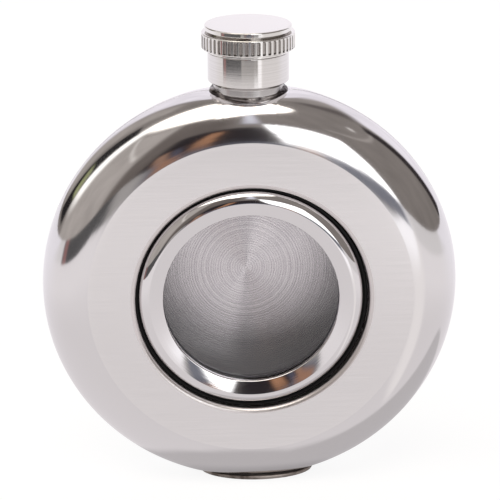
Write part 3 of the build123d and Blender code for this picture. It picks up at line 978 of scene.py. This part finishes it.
# The table in front is pale, and lighter near the flask and behind it. Metal shows it with a shade under and
# to the right of the flask, and with the feet of the dark strip, the dark card and the right panel.
floor = {
    "colours": ("f0efee", "ecebea"),
    "cameraGlow": 0.8, "cameraStrength": 1.1,
    "metalGlow": 0.9,
    "frontLeft": "cecbcb",
    # Each of these starts at a distance, with a softness
    "frontRight": ("c9c6c6", 100, 320), "near": ("dad6d7", 450, -140), "close": ("cdc9ca", 170, -120),
    "behind": ("e0dde2", 70, 260),
    "shade": 0.7, "shadeSoft": 0.16,
    "shades": ((0, 10, 31, 34), (45, 0, 70, 25)),  # ovals: middle x and y, half width and half depth
    # Painted contact shade: metal sees the floor darker round the foot
    "contact": 0.75, "contactEdge": (1.3, -0.6),  # darker round the foot, in shares of its oval
}
# Each patch: its distance and softness, (azimuth, half width) seen from its apex, softness of the sides, apex
patches = [
    (60, 20, (27, 8), 10, (40, -15), "e0dcdb"),  # light by the panel
    (250, 160, (25, 10.5), 4, (0, 0), "fbf9fb"),  # panel
    (424, 5, (-46, 31), 4, (0, 0), "2f3033"),  # dark strip
    (424, 5, (-71, 4), 4, (0, 0), "7d5452"),
    (420, 6, (2, 23), 4, (0, 0), "93908e"),  # grey floor before the dark card
    (530, 40, (17, 17), 8, (0, 0), "5c5f6b"),  # shade under the panel
    (470, 30, (0, 13), 4, (0, 0), "454958"),
    (520, 60, (-9, 2), 2, (0, 0), "8a5f45"),
    (520, 60, (9, 1.5), 2, (0, 0), "94705c"),
]


def paintedFloor(tree, position):
    # What metal sees of the floor, in plan
    spot = addNode(tree, "VectorMath", {0: position, "Scale": 1 / metre}, operation="SCALE")
    parts = addNode(tree, "SeparateXYZ", {"Vector": spot})
    reach = addNode(tree, "VectorMath", {0: spot}, operation="LENGTH").outputs["Value"]

    def fromOval(middleX, middleY, halfWidth, halfDepth):
        # Distance from the oval's middle, which is 1 on its outline
        away = addNode(tree, "VectorMath", {0: spot, 1: (middleX, middleY, 0)}, operation="SUBTRACT")
        away = addNode(tree, "VectorMath", {0: away, 1: (1 / halfWidth, 1 / halfDepth, 0)},
            operation="MULTIPLY")
        return addNode(tree, "VectorMath", {0: away}, operation="LENGTH").outputs["Value"]

    seen = hexColour(floor["frontLeft"], throughSteel)
    for name, along in (("frontRight", parts.outputs["X"]), ("near", reach), ("close", reach),
            ("behind", parts.outputs["Y"])):
        colour, edge, soft = floor[name]
        seen = painted(tree, seen, past(tree, along, edge, soft), colour)
    for start, soft, spread, sideSoft, apex, colour in patches:
        away = addNode(tree, "VectorMath", {0: spot, 1: (*apex, 0)}, operation="SUBTRACT")
        azimuth, _ = bearings(tree, away)
        mask = addNode(tree, "Math", {0: past(tree, reach, start, soft),
            1: within(tree, azimuth, *spread, sideSoft)}, operation="MULTIPLY")
        seen = painted(tree, seen, mask, colour)
    # Painted shadow of the flask on the floor, as metal sees it: ovals under and to the right of the flask,
    # and a painted contact shade round the foot
    under, aside = (past(tree, fromOval(*oval), 1, -floor["shadeSoft"]) for oval in floor["shades"])
    shade = addNode(tree, "Math", {0: under, 1: aside}, operation="MAXIMUM")
    dim = addNode(tree, "MapRange", {"Value": shade, "To Min": 1.0, "To Max": floor["shade"]})
    touch = past(tree, fromOval(footMiddle, 0, footHalf[0], footHigh[1]), *floor["contactEdge"])
    dark = addNode(tree, "MapRange", {"Value": touch, "To Min": 1.0, "To Max": floor["contact"]})
    dim = addNode(tree, "Math", {0: dim, 1: dark}, operation="MULTIPLY")
    return addNode(tree, "VectorMath", {0: seen, 1: dim}, operation="MULTIPLY")


def makeFloor():
    # A disc whose rings widen outwards. The camera sees it white, with the flask's shadow on it.
    material, tree, shader, position = newMaterial("paleStudioFloor")
    grain = addNode(tree, "TexNoise", {"Vector": position, "Scale": 400.0, "Detail": 2.0})
    plug(tree, shader, {"Base Color": toned(tree, grain, floor["colours"]), "Roughness": 0.9})
    path = addNode(tree, "LightPath")
    toMetal = addNode(tree, "Emission", {"Color": paintedFloor(tree, position)})
    toCamera = addNode(tree, "Emission", {"Color": (1, 1, 1, 1), "Strength": floor["cameraStrength"]})
    lit = shader
    for ray, glow, light in (("Glossy", "metalGlow", toMetal), ("Camera", "cameraGlow", toCamera)):
        share = addNode(tree, "Math", {0: path.outputs[f"Is {ray} Ray"], 1: floor[glow]},
            operation="MULTIPLY")
        lit = addNode(tree, "MixShader", {0: share, 1: lit, 2: light})
    showInstead(tree, lit)
    radius = studio["floorRadius"] * np.linspace(0, 1, 24)[:, None] ** 2
    angle = evenAngles(96)
    points = np.stack([radius * np.cos(angle), radius * np.sin(angle), 0 * radius + 0 * angle], -1)
    meshPiece("studioFloor", points, np.zeros(24, int), False, [material])


makeWorld()
makeFloor()
print("studio made")


# Camera, at the photograph's angle

shot = {"elevation": math.radians(19.386), "azimuth": math.radians(-1.8735), "roll": math.radians(-0.3823),
    "distance": 522.549, "lookAt": (0.121, 0, centreHeight + 9.146), "lens": 148.57, "sensor": 36.0}


def makeCamera():
    sinA, cosA = math.sin(shot["azimuth"]), math.cos(shot["azimuth"])
    back = np.array((sinA * math.cos(shot["elevation"]), -cosA * math.cos(shot["elevation"]),
        math.sin(shot["elevation"])))
    right = np.array((cosA, sinA, 0))
    up = np.cross(back, right)
    sinR, cosR = math.sin(shot["roll"]), math.cos(shot["roll"])
    sides = np.stack([right * cosR + up * sinR, up * cosR - right * sinR, back], -1)
    data = bpy.data.cameras.new("photoCamera")
    data.lens, data.sensor_width = shot["lens"], shot["sensor"]
    data.clip_start, data.clip_end = 0.01, 20
    camera = bpy.data.objects.new("photoCamera", data)
    bpy.context.scene.collection.objects.link(camera)
    eye = (np.array(shot["lookAt"]) + back * shot["distance"]) * metre
    camera.matrix_world = Matrix.Translation(eye) @ Matrix(sides.tolist()).to_4x4()
    bpy.context.scene.camera = camera


makeCamera()
bpy.context.scene.view_settings.view_transform = "Standard"

print("scene ready")
